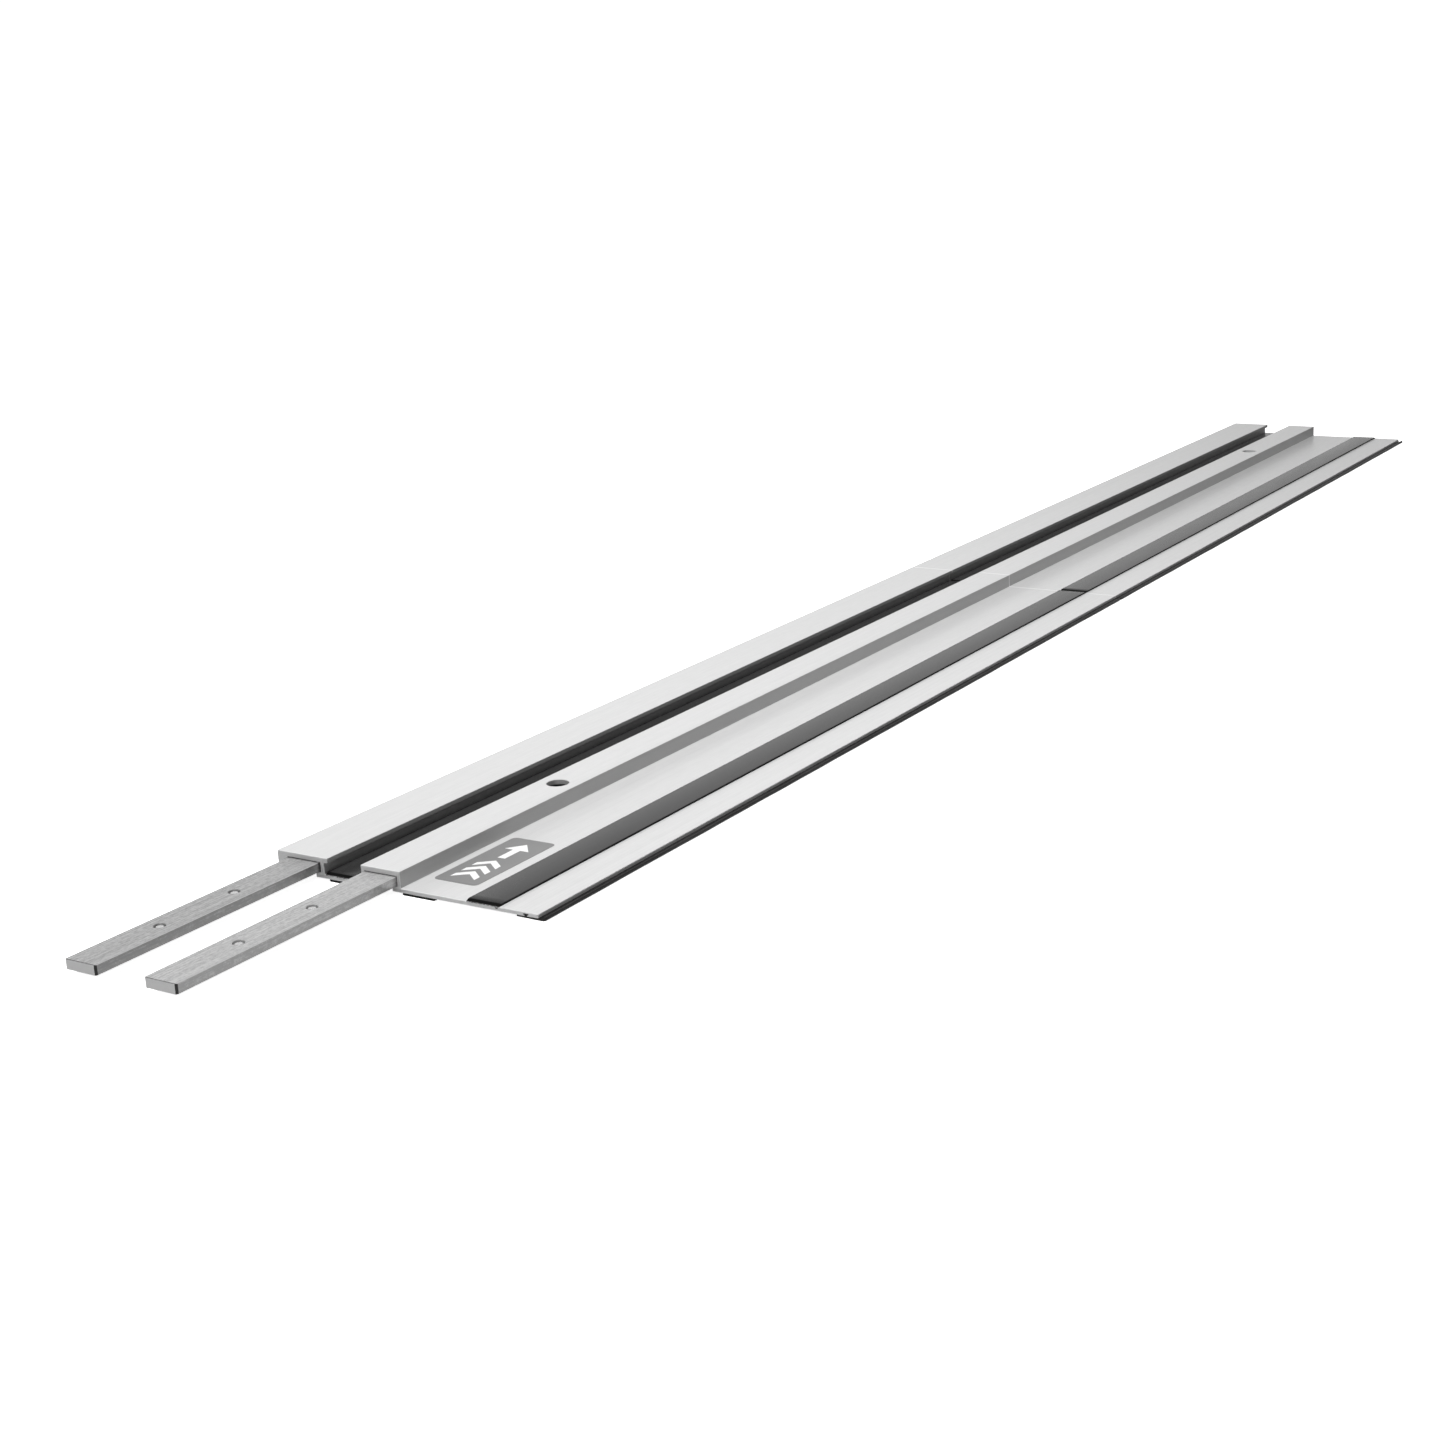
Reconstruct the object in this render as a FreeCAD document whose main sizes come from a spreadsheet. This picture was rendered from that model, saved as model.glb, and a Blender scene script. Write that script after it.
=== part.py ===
import FreeCAD, Part
import os
import re
import Sketcher
from FreeCAD import Vector

# A guide rail set for a plunge-cut saw: two aluminium rails laid end to end and held in line by
# steel connector bars in their T-slots, with a second pair of bars standing out of the near end.
#
# Shared frame: +X along the rails, away from the standing-out bars; +Y from the cut edge to the
# back edge; +Z up. The origin is at the middle of the underside of the whole set.
#
# Rail frame, in which each rail and its strips are drawn: x from the rail's near end, y from its
# cut edge, z from the underside of its base plate. Each sub-part's Placement moves it from there
# to the shared frame.

SIZES = {
    # the extruded rail
    "rail_length": 700.0,
    "rail_width": 163.2,
    "plate_thickness": 2.0,
    "roof_thickness": 2.7,
    "inner_wall": 2.2,
    "outer_wall": 2.4,
    "edge_wall": 6.6,
    "roof_overhang": 2.4,
    "channel_width": 21.9,
    "lip_width": 3.0,
    "lip_thickness": 2.6,
    "corner_radius": 0.4,
    "root_radius": 0.6,
    "hang_hole_diameter": 12.5,
    "hang_hole_inset": 150.0,
    "hole_deburr": 0.25,
    "end_deburr": 0.3,
    "seam_gap": 0.1,
    # the steel connector bars and how they sit in the slots
    "bar_length": 300.0,
    "bar_width": 20.0,
    "bar_thickness": 5.0,
    "bar_standout": 150.0,
    "bar_corner": 1.0,
    "bar_edge_radius": 0.3,
    "bar_hole_near": 50.0,
    "bar_hole_far": 100.0,
    "inner_slot_play": 0.2,
    "outer_slot_play": 0.9,
    "bar_play_below": 0.2,
    "bar_play_above": 0.3,
    # the set screws
    "screw_diameter": 6.0,
    "screw_length": 5.0,
    "screw_clearance": 0.05,
    "screw_recess": 0.5,
    "screw_end_chamfer": 0.4,
    "screw_tip_chamfer": 1.2,
    "socket_width": 3.0,
    "socket_depth": 2.4,
    # the glide strips on top
    "glide_offset": 22.8,
    "glide_width": 20.0,
    "glide_thickness": 1.1,
    "glide_end_cut": 2.2,
    "channel_strip_play": 0.1,
    # the grip strips underneath
    "grip_width": 20.0,
    "grip_thickness": 1.2,
    "grip_rib_gap": 1.0,
    "channel_grip_shift": 1.1,
    # the splinter guard along the cut edge
    "guard_overhang": 4.5,
    "guard_cover": 12.9,
    "guard_clearance": 0.05,
    "guard_end_inset": 0.3,
    "guard_end_corner": 2.2,
    "guard_lip_drop": 0.25,
    "bulb_radius": 0.95,
    "bulb_lift": 0.1,
    "ridge_height": 0.3,
    "ridge_width": 0.5,
    "ridge_pitch": 0.9,
    "lug_offset": 7.2,
    "lug_neck_width": 1.6,
    "lug_neck_height": 0.5,
    "lug_head_width": 3.0,
    "lug_head_height": 0.7,
    # the marking panel
    "panel_inset": 18.6,
    "panel_length": 67.8,
    "panel_width": 27.0,
    "panel_thickness": 0.15,
    "panel_rib_gap": 5.0,
    "panel_corner": 2.5,
}

# Places that follow from the sizes above. Each is a formula for the sheet.
SLOT_TOP = "(lip_thickness + bar_play_below + bar_thickness + bar_play_above)"
RIB_TOP = f"({SLOT_TOP} + roof_thickness)"
INNER_SLOT_WIDTH = "(bar_width + 2 * inner_slot_play)"
OUTER_SLOT_WIDTH = "(bar_width + 2 * outer_slot_play)"
INNER_RIB_WIDTH = f"({INNER_SLOT_WIDTH} + 2 * inner_wall)"
OUTER_RIB_WIDTH = f"(roof_overhang + outer_wall + {OUTER_SLOT_WIDTH} + edge_wall)"
OUTER_RIB_Y = f"(rail_width - {OUTER_RIB_WIDTH})"
INNER_RIB_Y = f"({OUTER_RIB_Y} - channel_width - {INNER_RIB_WIDTH})"
CHANNEL_Y = f"({INNER_RIB_Y} + {INNER_RIB_WIDTH})"
CHANNEL_FAR_Y = f"({OUTER_RIB_Y} + roof_overhang)"
INNER_SLOT_Y = f"({INNER_RIB_Y} + inner_wall)"
OUTER_SLOT_Y = f"({CHANNEL_FAR_Y} + outer_wall)"
INNER_BAR_Y = f"({INNER_SLOT_Y} + {INNER_SLOT_WIDTH} / 2)"
OUTER_BAR_Y = f"({OUTER_SLOT_Y} + {OUTER_SLOT_WIDTH} / 2)"
BAR_Z = "(lip_thickness + bar_play_below)"
HOLE_RADIUS = "(screw_diameter / 2 + screw_clearance)"
HOLES_IN_BAR = ("(-bar_hole_far)", "(-bar_hole_near)", "(bar_hole_near)", "(bar_hole_far)")
CHANNEL_STRIP_Y = f"({CHANNEL_Y} + root_radius + channel_strip_play)"
CHANNEL_STRIP_WIDTH = f"({CHANNEL_FAR_Y} - {CHANNEL_Y} - 2 * (root_radius + channel_strip_play))"
INNER_GRIP_Y = f"({INNER_RIB_Y} - grip_rib_gap - grip_width)"
CHANNEL_GRIP_Y = f"(({CHANNEL_Y} + {CHANNEL_FAR_Y} - grip_width) / 2 - channel_grip_shift)"
PANEL_Y = f"({INNER_RIB_Y} - panel_rib_gap - panel_width)"
LUG_HEIGHT = "(lug_neck_height + lug_head_height)"

# Where the rails stand in the shared frame
CUT_EDGE_Y = "(-(rail_width - guard_overhang) / 2)"
PLATE_Z = "grip_thickness"
NEAR_RAIL_X = "(-(2 * rail_length + seam_gap - bar_standout) / 2)"
FAR_RAIL_X = f"({NEAR_RAIL_X} + rail_length + seam_gap)"
NEAR_BARS_X = f"({NEAR_RAIL_X} - bar_standout + bar_length / 2)"
JOINT_BARS_X = f"({FAR_RAIL_X} - seam_gap / 2)"

doc = FreeCAD.newDocument("guide_rail_set")
sheet = doc.addObject("Spreadsheet::Sheet", "Sizes")
for row, (size_name, size) in enumerate(SIZES.items(), start=1):
    sheet.set(f"A{row}", size_name)
    sheet.set(f"B{row}", str(size))
    sheet.setAlias(f"B{row}", size_name)
doc.recompute()

sub_parts = []


def formula(text):
    """The formula with each size's name pointed at the sheet."""
    return re.sub(r"[a-z_]+", lambda word: "Sizes." + word[0] if word[0] in SIZES else word[0], text)


def value(text):
    """What a formula comes to with the sheet's present sizes."""
    return float(sheet.evalExpression(formula(text)))


def bind(thing, **formulas):
    """Tie properties of a document object to formulas on the sheet."""
    for name, text in formulas.items():
        thing.setExpression(name, formula(text))


def place(thing, across, along, up):
    """Tie where a sub-part stands in the shared frame to formulas, and keep it for export."""
    thing.setExpression("Placement.Base.x", formula(along))
    thing.setExpression("Placement.Base.y", formula(across))
    thing.setExpression("Placement.Base.z", formula(up))
    sub_parts.append(thing)


def new_body(label):
    body = doc.addObject("PartDesign::Body", label)
    body.Label = label
    return body


def new_sketch(body, name, plane, lift="0"):
    """A sketch on one of the body's own origin planes, raised along the plane's normal."""
    sketch = body.newObject("Sketcher::SketchObject", name)
    origin_plane = next(f for f in body.Origin.OriginFeatures if f.Role == plane)
    sketch.AttachmentSupport = [(origin_plane, "")]
    sketch.MapMode = "FlatFace"
    sketch.setExpression("AttachmentOffset.Base.z", formula(lift))
    return sketch


def draw_outline(sketch, corners):
    """A closed outline of straight lines whose corners are pairs of formulas, one line a corner."""
    places = [Vector(value(across), value(up), 0) for across, up in corners]
    first = sketch.GeometryCount
    last = first + len(places) - 1
    for start, end in zip(places, places[1:] + places[:1]):
        sketch.addGeometry(Part.LineSegment(start, end))
    for line in range(first, last):
        sketch.addConstraint(Sketcher.Constraint("Coincident", line, 2, line + 1, 1))
    sketch.addConstraint(Sketcher.Constraint("Coincident", last, 2, first, 1))
    for line, (corner, where) in enumerate(zip(corners, places), start=first):
        for kind, text, size in zip(("DistanceX", "DistanceY"), corner, where):
            number = sketch.addConstraint(Sketcher.Constraint(kind, -1, 1, line, 1, size))
            sketch.setExpression(f"Constraints[{number}]", formula(text))


def draw_circle(sketch, across, up, radius):
    """A circle whose centre and radius are formulas."""
    centre = Vector(value(across), value(up), 0)
    circle = sketch.addGeometry(Part.Circle(centre, Vector(0, 0, 1), value(radius)))
    for kind, text, size in (("DistanceX", across, centre.x), ("DistanceY", up, centre.y)):
        number = sketch.addConstraint(Sketcher.Constraint(kind, -1, 1, circle, 3, size))
        sketch.setExpression(f"Constraints[{number}]", formula(text))
    number = sketch.addConstraint(Sketcher.Constraint("Radius", circle, value(radius)))
    sketch.setExpression(f"Constraints[{number}]", formula(radius))


def pad(body, sketch, length, reversed_way=False):
    feature = body.newObject("PartDesign::Pad", sketch.Name + "_pad")
    feature.Profile = sketch
    feature.Reversed = reversed_way
    bind(feature, Length=length)
    doc.recompute()
    return feature


def pocket(body, sketch, depth, reversed_way=False):
    """A pocket, which has to take some material away."""
    before = body.Shape.Volume
    feature = body.newObject("PartDesign::Pocket", sketch.Name + "_pocket")
    feature.Profile = sketch
    feature.Reversed = reversed_way
    bind(feature, Length=depth)
    doc.recompute()
    if not body.Shape.Volume < before - 1e-6:
        raise RuntimeError(f"{sketch.Name} cuts nothing")
    return feature


def dress(body, kind, edges, name, size_property, size):
    """A fillet or chamfer on the named edges of the body's latest feature."""
    latest = body.Tip
    feature = body.newObject("PartDesign::" + kind, name)
    feature.Base = (latest, edges)
    bind(feature, **{size_property: size})
    body.Tip = feature
    doc.recompute()
    return feature


def edges_where(body, test):
    """Names of the edges of the body's latest feature that pass a test."""
    edges = body.Tip.Shape.Edges
    return [f"Edge{number}" for number, edge in enumerate(edges, start=1) if test(edge)]


def runs_along_x(edge, corners):
    """Is this a straight edge along X through one of the (y, z) corners?"""
    if not isinstance(edge.Curve, Part.Line) or len(edge.Vertexes) != 2:
        return False
    start, end = (vertex.Point for vertex in edge.Vertexes)
    if abs(start.y - end.y) > 1e-4 or abs(start.z - end.z) > 1e-4:
        return False
    return any(abs(start.y - y) < 1e-4 and abs(start.z - z) < 1e-4 for y, z in corners)


def is_end_line(edge, x, above):
    """Is this a straight edge of the end face at this x, no lower than the given height?"""
    box = edge.BoundBox
    return (isinstance(edge.Curve, Part.Line) and box.XLength < 1e-4
            and abs(box.XMin - x) < 1e-3 and box.ZMin > above - 1e-4)


def is_circle(edge, radius, height):
    """Is this a whole level circle of this radius at this height?"""
    return (isinstance(edge.Curve, Part.Circle) and abs(edge.Curve.Radius - radius) < 1e-4
            and abs(edge.Curve.Center.z - height) < 1e-4)


def slot_corners(slot_y, slot_width):
    """The T-slot's outline, from one side of its mouth round to the other."""
    far_y = f"({slot_y} + {slot_width})"
    return [
        (f"{slot_y} + lip_width", "0"),
        (f"{slot_y} + lip_width", "lip_thickness"),
        (slot_y, "lip_thickness"),
        (slot_y, SLOT_TOP),
        (far_y, SLOT_TOP),
        (far_y, "lip_thickness"),
        (f"{far_y} - lip_width", "lip_thickness"),
        (f"{far_y} - lip_width", "0"),
    ]


def lug_corners(extra):
    """The T-shaped lug that holds the splinter guard, or its groove when extra is the clearance."""
    neck = f"(lug_neck_width / 2 + {extra})"
    head = f"(lug_head_width / 2 + {extra})"
    head_floor = f"(lug_neck_height - {extra})"
    head_top = f"({LUG_HEIGHT} + {extra})"
    return [
        (f"lug_offset - {neck}", "0"),
        (f"lug_offset - {neck}", head_floor),
        (f"lug_offset - {head}", head_floor),
        (f"lug_offset - {head}", head_top),
        (f"lug_offset + {head}", head_top),
        (f"lug_offset + {head}", head_floor),
        (f"lug_offset + {neck}", head_floor),
        (f"lug_offset + {neck}", "0"),
    ]


def make_rail(label, rail_x, hang_hole_x):
    """One aluminium extrusion: base plate, inner rib, guide channel and outer rib."""
    body = new_body(label)
    outline = [("0", "0")]
    outline += lug_corners("guard_clearance")
    outline += slot_corners(INNER_SLOT_Y, INNER_SLOT_WIDTH)
    outline += slot_corners(OUTER_SLOT_Y, OUTER_SLOT_WIDTH)
    outline += [
        ("rail_width", "0"),
        ("rail_width", RIB_TOP),
        (OUTER_RIB_Y, RIB_TOP),
        (OUTER_RIB_Y, SLOT_TOP),
        (CHANNEL_FAR_Y, SLOT_TOP),
        (CHANNEL_FAR_Y, "plate_thickness"),
        (CHANNEL_Y, "plate_thickness"),
        (CHANNEL_Y, RIB_TOP),
        (INNER_RIB_Y, RIB_TOP),
        (INNER_RIB_Y, "plate_thickness"),
        ("0", "plate_thickness"),
    ]
    section = new_sketch(body, label + "_section", "YZ_Plane")
    draw_outline(section, outline)
    pad(body, section, "rail_length")

    corners = [(value(y), value(z)) for y, z in (
        ("rail_width", "0"), ("rail_width", RIB_TOP), (OUTER_RIB_Y, RIB_TOP), (OUTER_RIB_Y, SLOT_TOP),
        (CHANNEL_Y, RIB_TOP), (INNER_RIB_Y, RIB_TOP), ("0", "plate_thickness"))]
    rounded = edges_where(body, lambda edge: runs_along_x(edge, corners))
    dress(body, "Fillet", rounded, label + "_corners", "Radius", "corner_radius")
    roots = [(value(y), value("plate_thickness")) for y in (INNER_RIB_Y, CHANNEL_Y, CHANNEL_FAR_Y)]
    rooted = edges_where(body, lambda edge: runs_along_x(edge, roots))
    dress(body, "Fillet", rooted, label + "_roots", "Radius", "root_radius")

    ends = (0.0, value("rail_length"))
    above = value("plate_thickness - corner_radius")
    sawn = edges_where(body, lambda edge: any(is_end_line(edge, x, above) for x in ends))
    dress(body, "Chamfer", sawn, label + "_end_deburr", "Size", "end_deburr")

    hole = new_sketch(body, label + "_hang_hole", "XY_Plane", RIB_TOP)
    draw_circle(hole, hang_hole_x, INNER_BAR_Y, "hang_hole_diameter / 2")
    pocket(body, hole, "roof_thickness + bar_play_above / 2")
    radius = value("hang_hole_diameter / 2")
    rim = edges_where(body, lambda edge: is_circle(edge, radius, value(RIB_TOP)))
    dress(body, "Chamfer", rim, label + "_hole_deburr", "Size", "hole_deburr")
    place(body, CUT_EDGE_Y, rail_x, PLATE_Z)


def make_glide_strip(label, rail_x, strip_y, strip_width):
    """A plastic strip the saw runs on, cut at a slant at both ends."""
    body = new_body(label)
    side = new_sketch(body, label + "_side", "XZ_Plane")
    draw_outline(side, [
        ("0", "0"),
        ("rail_length", "0"),
        ("rail_length - glide_end_cut", "glide_thickness"),
        ("glide_end_cut", "glide_thickness"),
    ])
    pad(body, side, strip_width, reversed_way=True)
    place(body, f"{CUT_EDGE_Y} + {strip_y}", rail_x, f"{PLATE_Z} + plate_thickness")


def make_grip_strip(label, rail_x, strip_y):
    """A foam-rubber strip on the underside that keeps the rail from sliding on the work."""
    strip = doc.addObject("Part::Box", label)
    strip.Label = label
    bind(strip, Length="rail_length", Width="grip_width", Height="grip_thickness")
    place(strip, f"{CUT_EDGE_Y} + {strip_y}", rail_x, "0")


def make_splinter_guard(label, rail_x):
    """The rubber lip under the cut edge: a flat band with a T lug above it and a round outer bulb."""
    body = new_body(label)
    length = "(rail_length - 2 * guard_end_inset)"
    lip_top = "(-guard_lip_drop)"
    bulb_y = "(bulb_radius - guard_overhang)"
    band = [("guard_cover", "-grip_thickness"), (bulb_y, "-grip_thickness"), (bulb_y, lip_top)]
    for ridge in (2, 1):
        ridge_y = f"(-{ridge} * ridge_pitch)"
        band += [
            (f"{ridge_y} - ridge_width / 2", lip_top),
            (ridge_y, f"{lip_top} + ridge_height"),
            (f"{ridge_y} + ridge_width / 2", lip_top),
        ]
    band += [("guard_clearance", lip_top), ("guard_clearance", "0")]
    band += lug_corners("0")
    band += [("guard_cover", "0")]
    section = new_sketch(body, label + "_band", "YZ_Plane")
    draw_outline(section, band)
    pad(body, section, length)
    bulb = new_sketch(body, label + "_bulb", "YZ_Plane")
    draw_circle(bulb, bulb_y, "bulb_radius + bulb_lift - grip_thickness", "bulb_radius")
    pad(body, bulb, length)

    corners = new_sketch(body, label + "_end_corners", "XY_Plane", "bulb_radius * 2")
    outside = "(-guard_overhang - bulb_radius)"
    inside = "(guard_end_corner - guard_overhang)"
    for end, inward in (("0", "+"), (length, "-")):
        draw_outline(corners, [
            (end, outside),
            (end, inside),
            (f"{end} {inward} guard_end_corner / 3", "guard_end_corner / 3 - guard_overhang"),
            (f"{end} {inward} guard_end_corner", "-guard_overhang"),
            (f"{end} {inward} guard_end_corner", outside),
        ])
    pocket(body, corners, "4 * bulb_radius + grip_thickness")
    place(body, CUT_EDGE_Y, f"{rail_x} + guard_end_inset", PLATE_Z)


def make_marking_panel(label, rail_x):
    """A thin printed plate with rounded corners, stuck on the flat beside the inner rib."""
    body = new_body(label)
    face = new_sketch(body, label + "_face", "XY_Plane")
    draw_outline(face, [
        ("0", "0"),
        ("panel_length", "0"),
        ("panel_length", "panel_width"),
        ("0", "panel_width"),
    ])
    pad(body, face, "panel_thickness")
    upright = edges_where(body, lambda edge: abs(edge.Vertexes[0].Z - edge.Vertexes[1].Z) > 1e-4)
    dress(body, "Fillet", upright, label + "_corners", "Radius", "panel_corner")
    place(body, f"{CUT_EDGE_Y} + {PANEL_Y}", f"{rail_x} + panel_inset", f"{PLATE_Z} + plate_thickness")


def make_bar(label, bar_x, bar_y):
    """A drawn steel flat with four tapped holes, drawn from its middle."""
    body = new_body(label)
    half_length = "bar_length / 2"
    half_width = "bar_width / 2"
    face = new_sketch(body, label + "_face", "XY_Plane")
    draw_outline(face, [
        (f"-{half_length}", f"-{half_width}"),
        (half_length, f"-{half_width}"),
        (half_length, half_width),
        (f"-{half_length}", half_width),
    ])
    pad(body, face, "bar_thickness")
    upright = edges_where(body, lambda edge: abs(edge.Vertexes[0].Z - edge.Vertexes[1].Z) > 1e-4)
    dress(body, "Chamfer", upright, label + "_corners", "Size", "bar_corner")
    sides = value(half_width)
    long_corners = [(y, z) for y in (-sides, sides) for z in (0.0, value("bar_thickness"))]
    long_edges = edges_where(body, lambda edge: runs_along_x(edge, long_corners))
    dress(body, "Fillet", long_edges, label + "_edges", "Radius", "bar_edge_radius")

    holes = new_sketch(body, label + "_holes", "XY_Plane", "bar_thickness")
    for hole_x in HOLES_IN_BAR:
        draw_circle(holes, hole_x, "0", HOLE_RADIUS)
    pocket(body, holes, "bar_thickness")
    radius = value(HOLE_RADIUS)
    heights = (0.0, value("bar_thickness"))
    mouths = edges_where(body, lambda edge: any(is_circle(edge, radius, z) for z in heights))
    dress(body, "Chamfer", mouths, label + "_hole_deburr", "Size", "hole_deburr")
    place(body, f"{CUT_EDGE_Y} + {bar_y}", bar_x, f"{PLATE_Z} + {BAR_Z}")


def make_screw(label, bar_x, bar_y, hole_x):
    """A set screw, driven from below by its hexagon socket, with its flat tip towards the roof."""
    body = new_body(label)
    radius = "screw_diameter / 2"
    half = new_sketch(body, label + "_half", "XZ_Plane")
    draw_outline(half, [
        ("0", "0"),
        (f"{radius} - screw_end_chamfer", "0"),
        (radius, "screw_end_chamfer"),
        (radius, "screw_length - screw_tip_chamfer"),
        (f"{radius} - screw_tip_chamfer", "screw_length"),
        ("0", "screw_length"),
    ])
    turned = body.newObject("PartDesign::Revolution", label + "_turned")
    turned.Profile = half
    turned.ReferenceAxis = (half, ["V_Axis"])
    turned.Angle = 360
    doc.recompute()
    socket = new_sketch(body, label + "_socket", "XY_Plane")
    corner_reach = "socket_width / sqrt(3)"
    draw_outline(socket, [
        (f"{corner_reach} * cos({angle} deg)", f"{corner_reach} * sin({angle} deg)")
        for angle in range(0, 360, 60)])
    pocket(body, socket, "socket_depth", reversed_way=True)
    screw_z = f"({PLATE_Z} + {BAR_Z} + bar_thickness - screw_recess - screw_length)"
    place(body, f"{CUT_EDGE_Y} + {bar_y}", f"{bar_x} + {hole_x}", screw_z)


RAILS = (
    ("near", NEAR_RAIL_X, "hang_hole_inset"),
    ("far", FAR_RAIL_X, "(rail_length - hang_hole_inset)"),
)
for side, rail_x, hang_hole_x in RAILS:
    make_rail(f"{side}_rail", rail_x, hang_hole_x)
    make_glide_strip(f"{side}_glide_strip", rail_x, "glide_offset", "glide_width")
    make_glide_strip(f"{side}_channel_strip", rail_x, CHANNEL_STRIP_Y, CHANNEL_STRIP_WIDTH)
    make_grip_strip(f"{side}_inner_grip", rail_x, INNER_GRIP_Y)
    make_grip_strip(f"{side}_channel_grip", rail_x, CHANNEL_GRIP_Y)
    make_splinter_guard(f"{side}_splinter_guard", rail_x)
make_marking_panel("near_marking_panel", NEAR_RAIL_X)

BARS = (
    ("near_inner_bar", NEAR_BARS_X, INNER_BAR_Y),
    ("near_outer_bar", NEAR_BARS_X, OUTER_BAR_Y),
    ("joint_inner_bar", JOINT_BARS_X, INNER_BAR_Y),
    ("joint_outer_bar", JOINT_BARS_X, OUTER_BAR_Y),
)
for bar_name, bar_x, bar_y in BARS:
    make_bar(bar_name, bar_x, bar_y)
    for number, hole_x in enumerate(HOLES_IN_BAR, start=1):
        make_screw(f"{bar_name}_screw_{number}", bar_x, bar_y, hole_x)

doc.recompute()
for thing in doc.Objects:
    if {"Invalid", "Error"} & set(thing.State):
        raise RuntimeError(f"{thing.Label} did not build: {thing.State}")
os.makedirs("parts", exist_ok=True)
for sub_part in sub_parts:
    shape = sub_part.Shape
    if shape.isNull() or not shape.isValid() or len(shape.Solids) != 1:
        raise RuntimeError(f"{sub_part.Label} is not one valid solid")
    shape.exportStep(f"parts/{sub_part.Label}.step")
whole = Part.makeCompound([sub_part.Shape for sub_part in sub_parts]).BoundBox
print(f"{len(sub_parts)} sub-parts, {whole.XLength:.2f} x {whole.YLength:.2f} x {whole.ZLength:.2f} mm")
print(f"box from {whole.XMin:.3f} {whole.YMin:.3f} {whole.ZMin:.3f}")
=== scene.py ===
from math import pi, radians, tau

import bpy
import numpy as np
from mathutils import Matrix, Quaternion, Vector


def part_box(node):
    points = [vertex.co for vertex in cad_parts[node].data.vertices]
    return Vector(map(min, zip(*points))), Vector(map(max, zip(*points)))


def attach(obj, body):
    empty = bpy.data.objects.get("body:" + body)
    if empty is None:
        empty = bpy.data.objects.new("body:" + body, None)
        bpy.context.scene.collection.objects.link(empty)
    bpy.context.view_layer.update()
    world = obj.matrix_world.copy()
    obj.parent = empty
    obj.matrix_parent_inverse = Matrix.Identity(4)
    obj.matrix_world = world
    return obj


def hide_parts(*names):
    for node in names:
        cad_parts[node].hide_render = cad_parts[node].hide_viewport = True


# A guide rail set for a plunge-cut saw: two aluminium rails end to end, each with its strips and
# rubber lip, four steel connector bars in their T-slots and sixteen set screws in the bars.
# +X runs along the rails away from the standing-out bars, +Y from the cut edge to the back, +Z up.

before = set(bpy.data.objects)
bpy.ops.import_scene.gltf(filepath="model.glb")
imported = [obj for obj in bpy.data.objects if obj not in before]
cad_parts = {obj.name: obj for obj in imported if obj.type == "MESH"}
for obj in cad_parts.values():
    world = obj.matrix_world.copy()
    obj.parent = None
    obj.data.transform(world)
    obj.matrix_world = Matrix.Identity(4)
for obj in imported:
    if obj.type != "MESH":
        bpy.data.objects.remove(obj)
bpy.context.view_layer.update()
MM = 0.001


# ---- Rails -------------------------------------------------------------------------------------
# Each rail is one length of aluminium extrusion, satin anodised to a pale silver. The die leaves
# fine lines along it. It is sawn to length and deburred afterwards, so its ends are bare metal.
# The bright band at each end is partly that bare metal and partly a painted highlight, and the walls
# that stand up across Y are darkened with painted shade.


class Wire:
    """A socket in a material's graph. Sums on wires and plain numbers add Math nodes to it."""

    def __init__(self, socket):
        self.socket = socket

    def node(self, kind, settings, inputs, output=0):
        """Adds one node to this wire's graph: its settings first, then each input's value or wire.
        An input or the output is given by its name or its number."""
        graph = self.socket.id_data
        made = graph.nodes.new("ShaderNode" + kind)
        for name, setting in settings.items():
            setattr(made, name, setting)
        for name, given in inputs.items():
            if isinstance(given, Wire):
                graph.links.new(given.socket, made.inputs[name])
            else:
                made.inputs[name].default_value = given
        return Wire(made.outputs[output])

    def math(self, operation, first, second=0.0):
        return self.node("Math", {"operation": operation}, {0: first, 1: second})

    def __add__(self, other):
        return self.math("ADD", self, other)

    __radd__ = __add__

    def __sub__(self, other):
        return self.math("SUBTRACT", self, other)

    def __rsub__(self, other):
        return self.math("SUBTRACT", other, self)

    def __mul__(self, other):
        return self.math("MULTIPLY", self, other)

    __rmul__ = __mul__

    def __abs__(self):
        return self.math("ABSOLUTE", self)

    def least(self, other):
        return self.math("MINIMUM", self, other)

    def most(self, other):
        return self.math("MAXIMUM", self, other)


def axes(place):
    """The x, y and z of a place, each as a wire."""
    parts = place.node("SeparateXYZ", {}, {"Vector": place})
    return [Wire(socket) for socket in parts.socket.node.outputs]


def rise(wire, low, high):
    """0 where the wire is under low, 1 over high, and a smooth slope between them."""
    return wire.node("MapRange", {"interpolation_type": "SMOOTHSTEP"}, {
        "Value": wire, "From Min": low, "From Max": high})


def stretched(place, waves):
    """The place with its x, y and z multiplied by this many waves to the metre."""
    return place.node("VectorMath", {"operation": "MULTIPLY"}, {0: place, 1: waves})


def grain(place, waves, detail=3.0, roughness=0.55):
    """Noise from 0 to 1 with about this many waves to the metre along x, y and z."""
    return place.node("TexNoise", {}, {
        "Vector": stretched(place, waves), "Scale": 1.0, "Detail": detail, "Roughness": roughness})


def colours(share, first, second):
    """From the first colour to the second as share goes from 0 to 1. A number stands for a grey.
    A Mix node has its colours at inputs 6 and 7 and its result at output 2."""
    first, second = (c if isinstance(c, Wire) else (c, c, c, 1.0) for c in (first, second))
    return share.node("Mix", {"data_type": "RGBA"}, {0: share, 6: first, 7: second}, 2)


def relief(height, depth):
    """The surface's slope where a height from 0 to 1 stands for this depth in metres."""
    return height.node("Bump", {}, {"Strength": 1.0, "Distance": depth, "Height": height})


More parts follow.
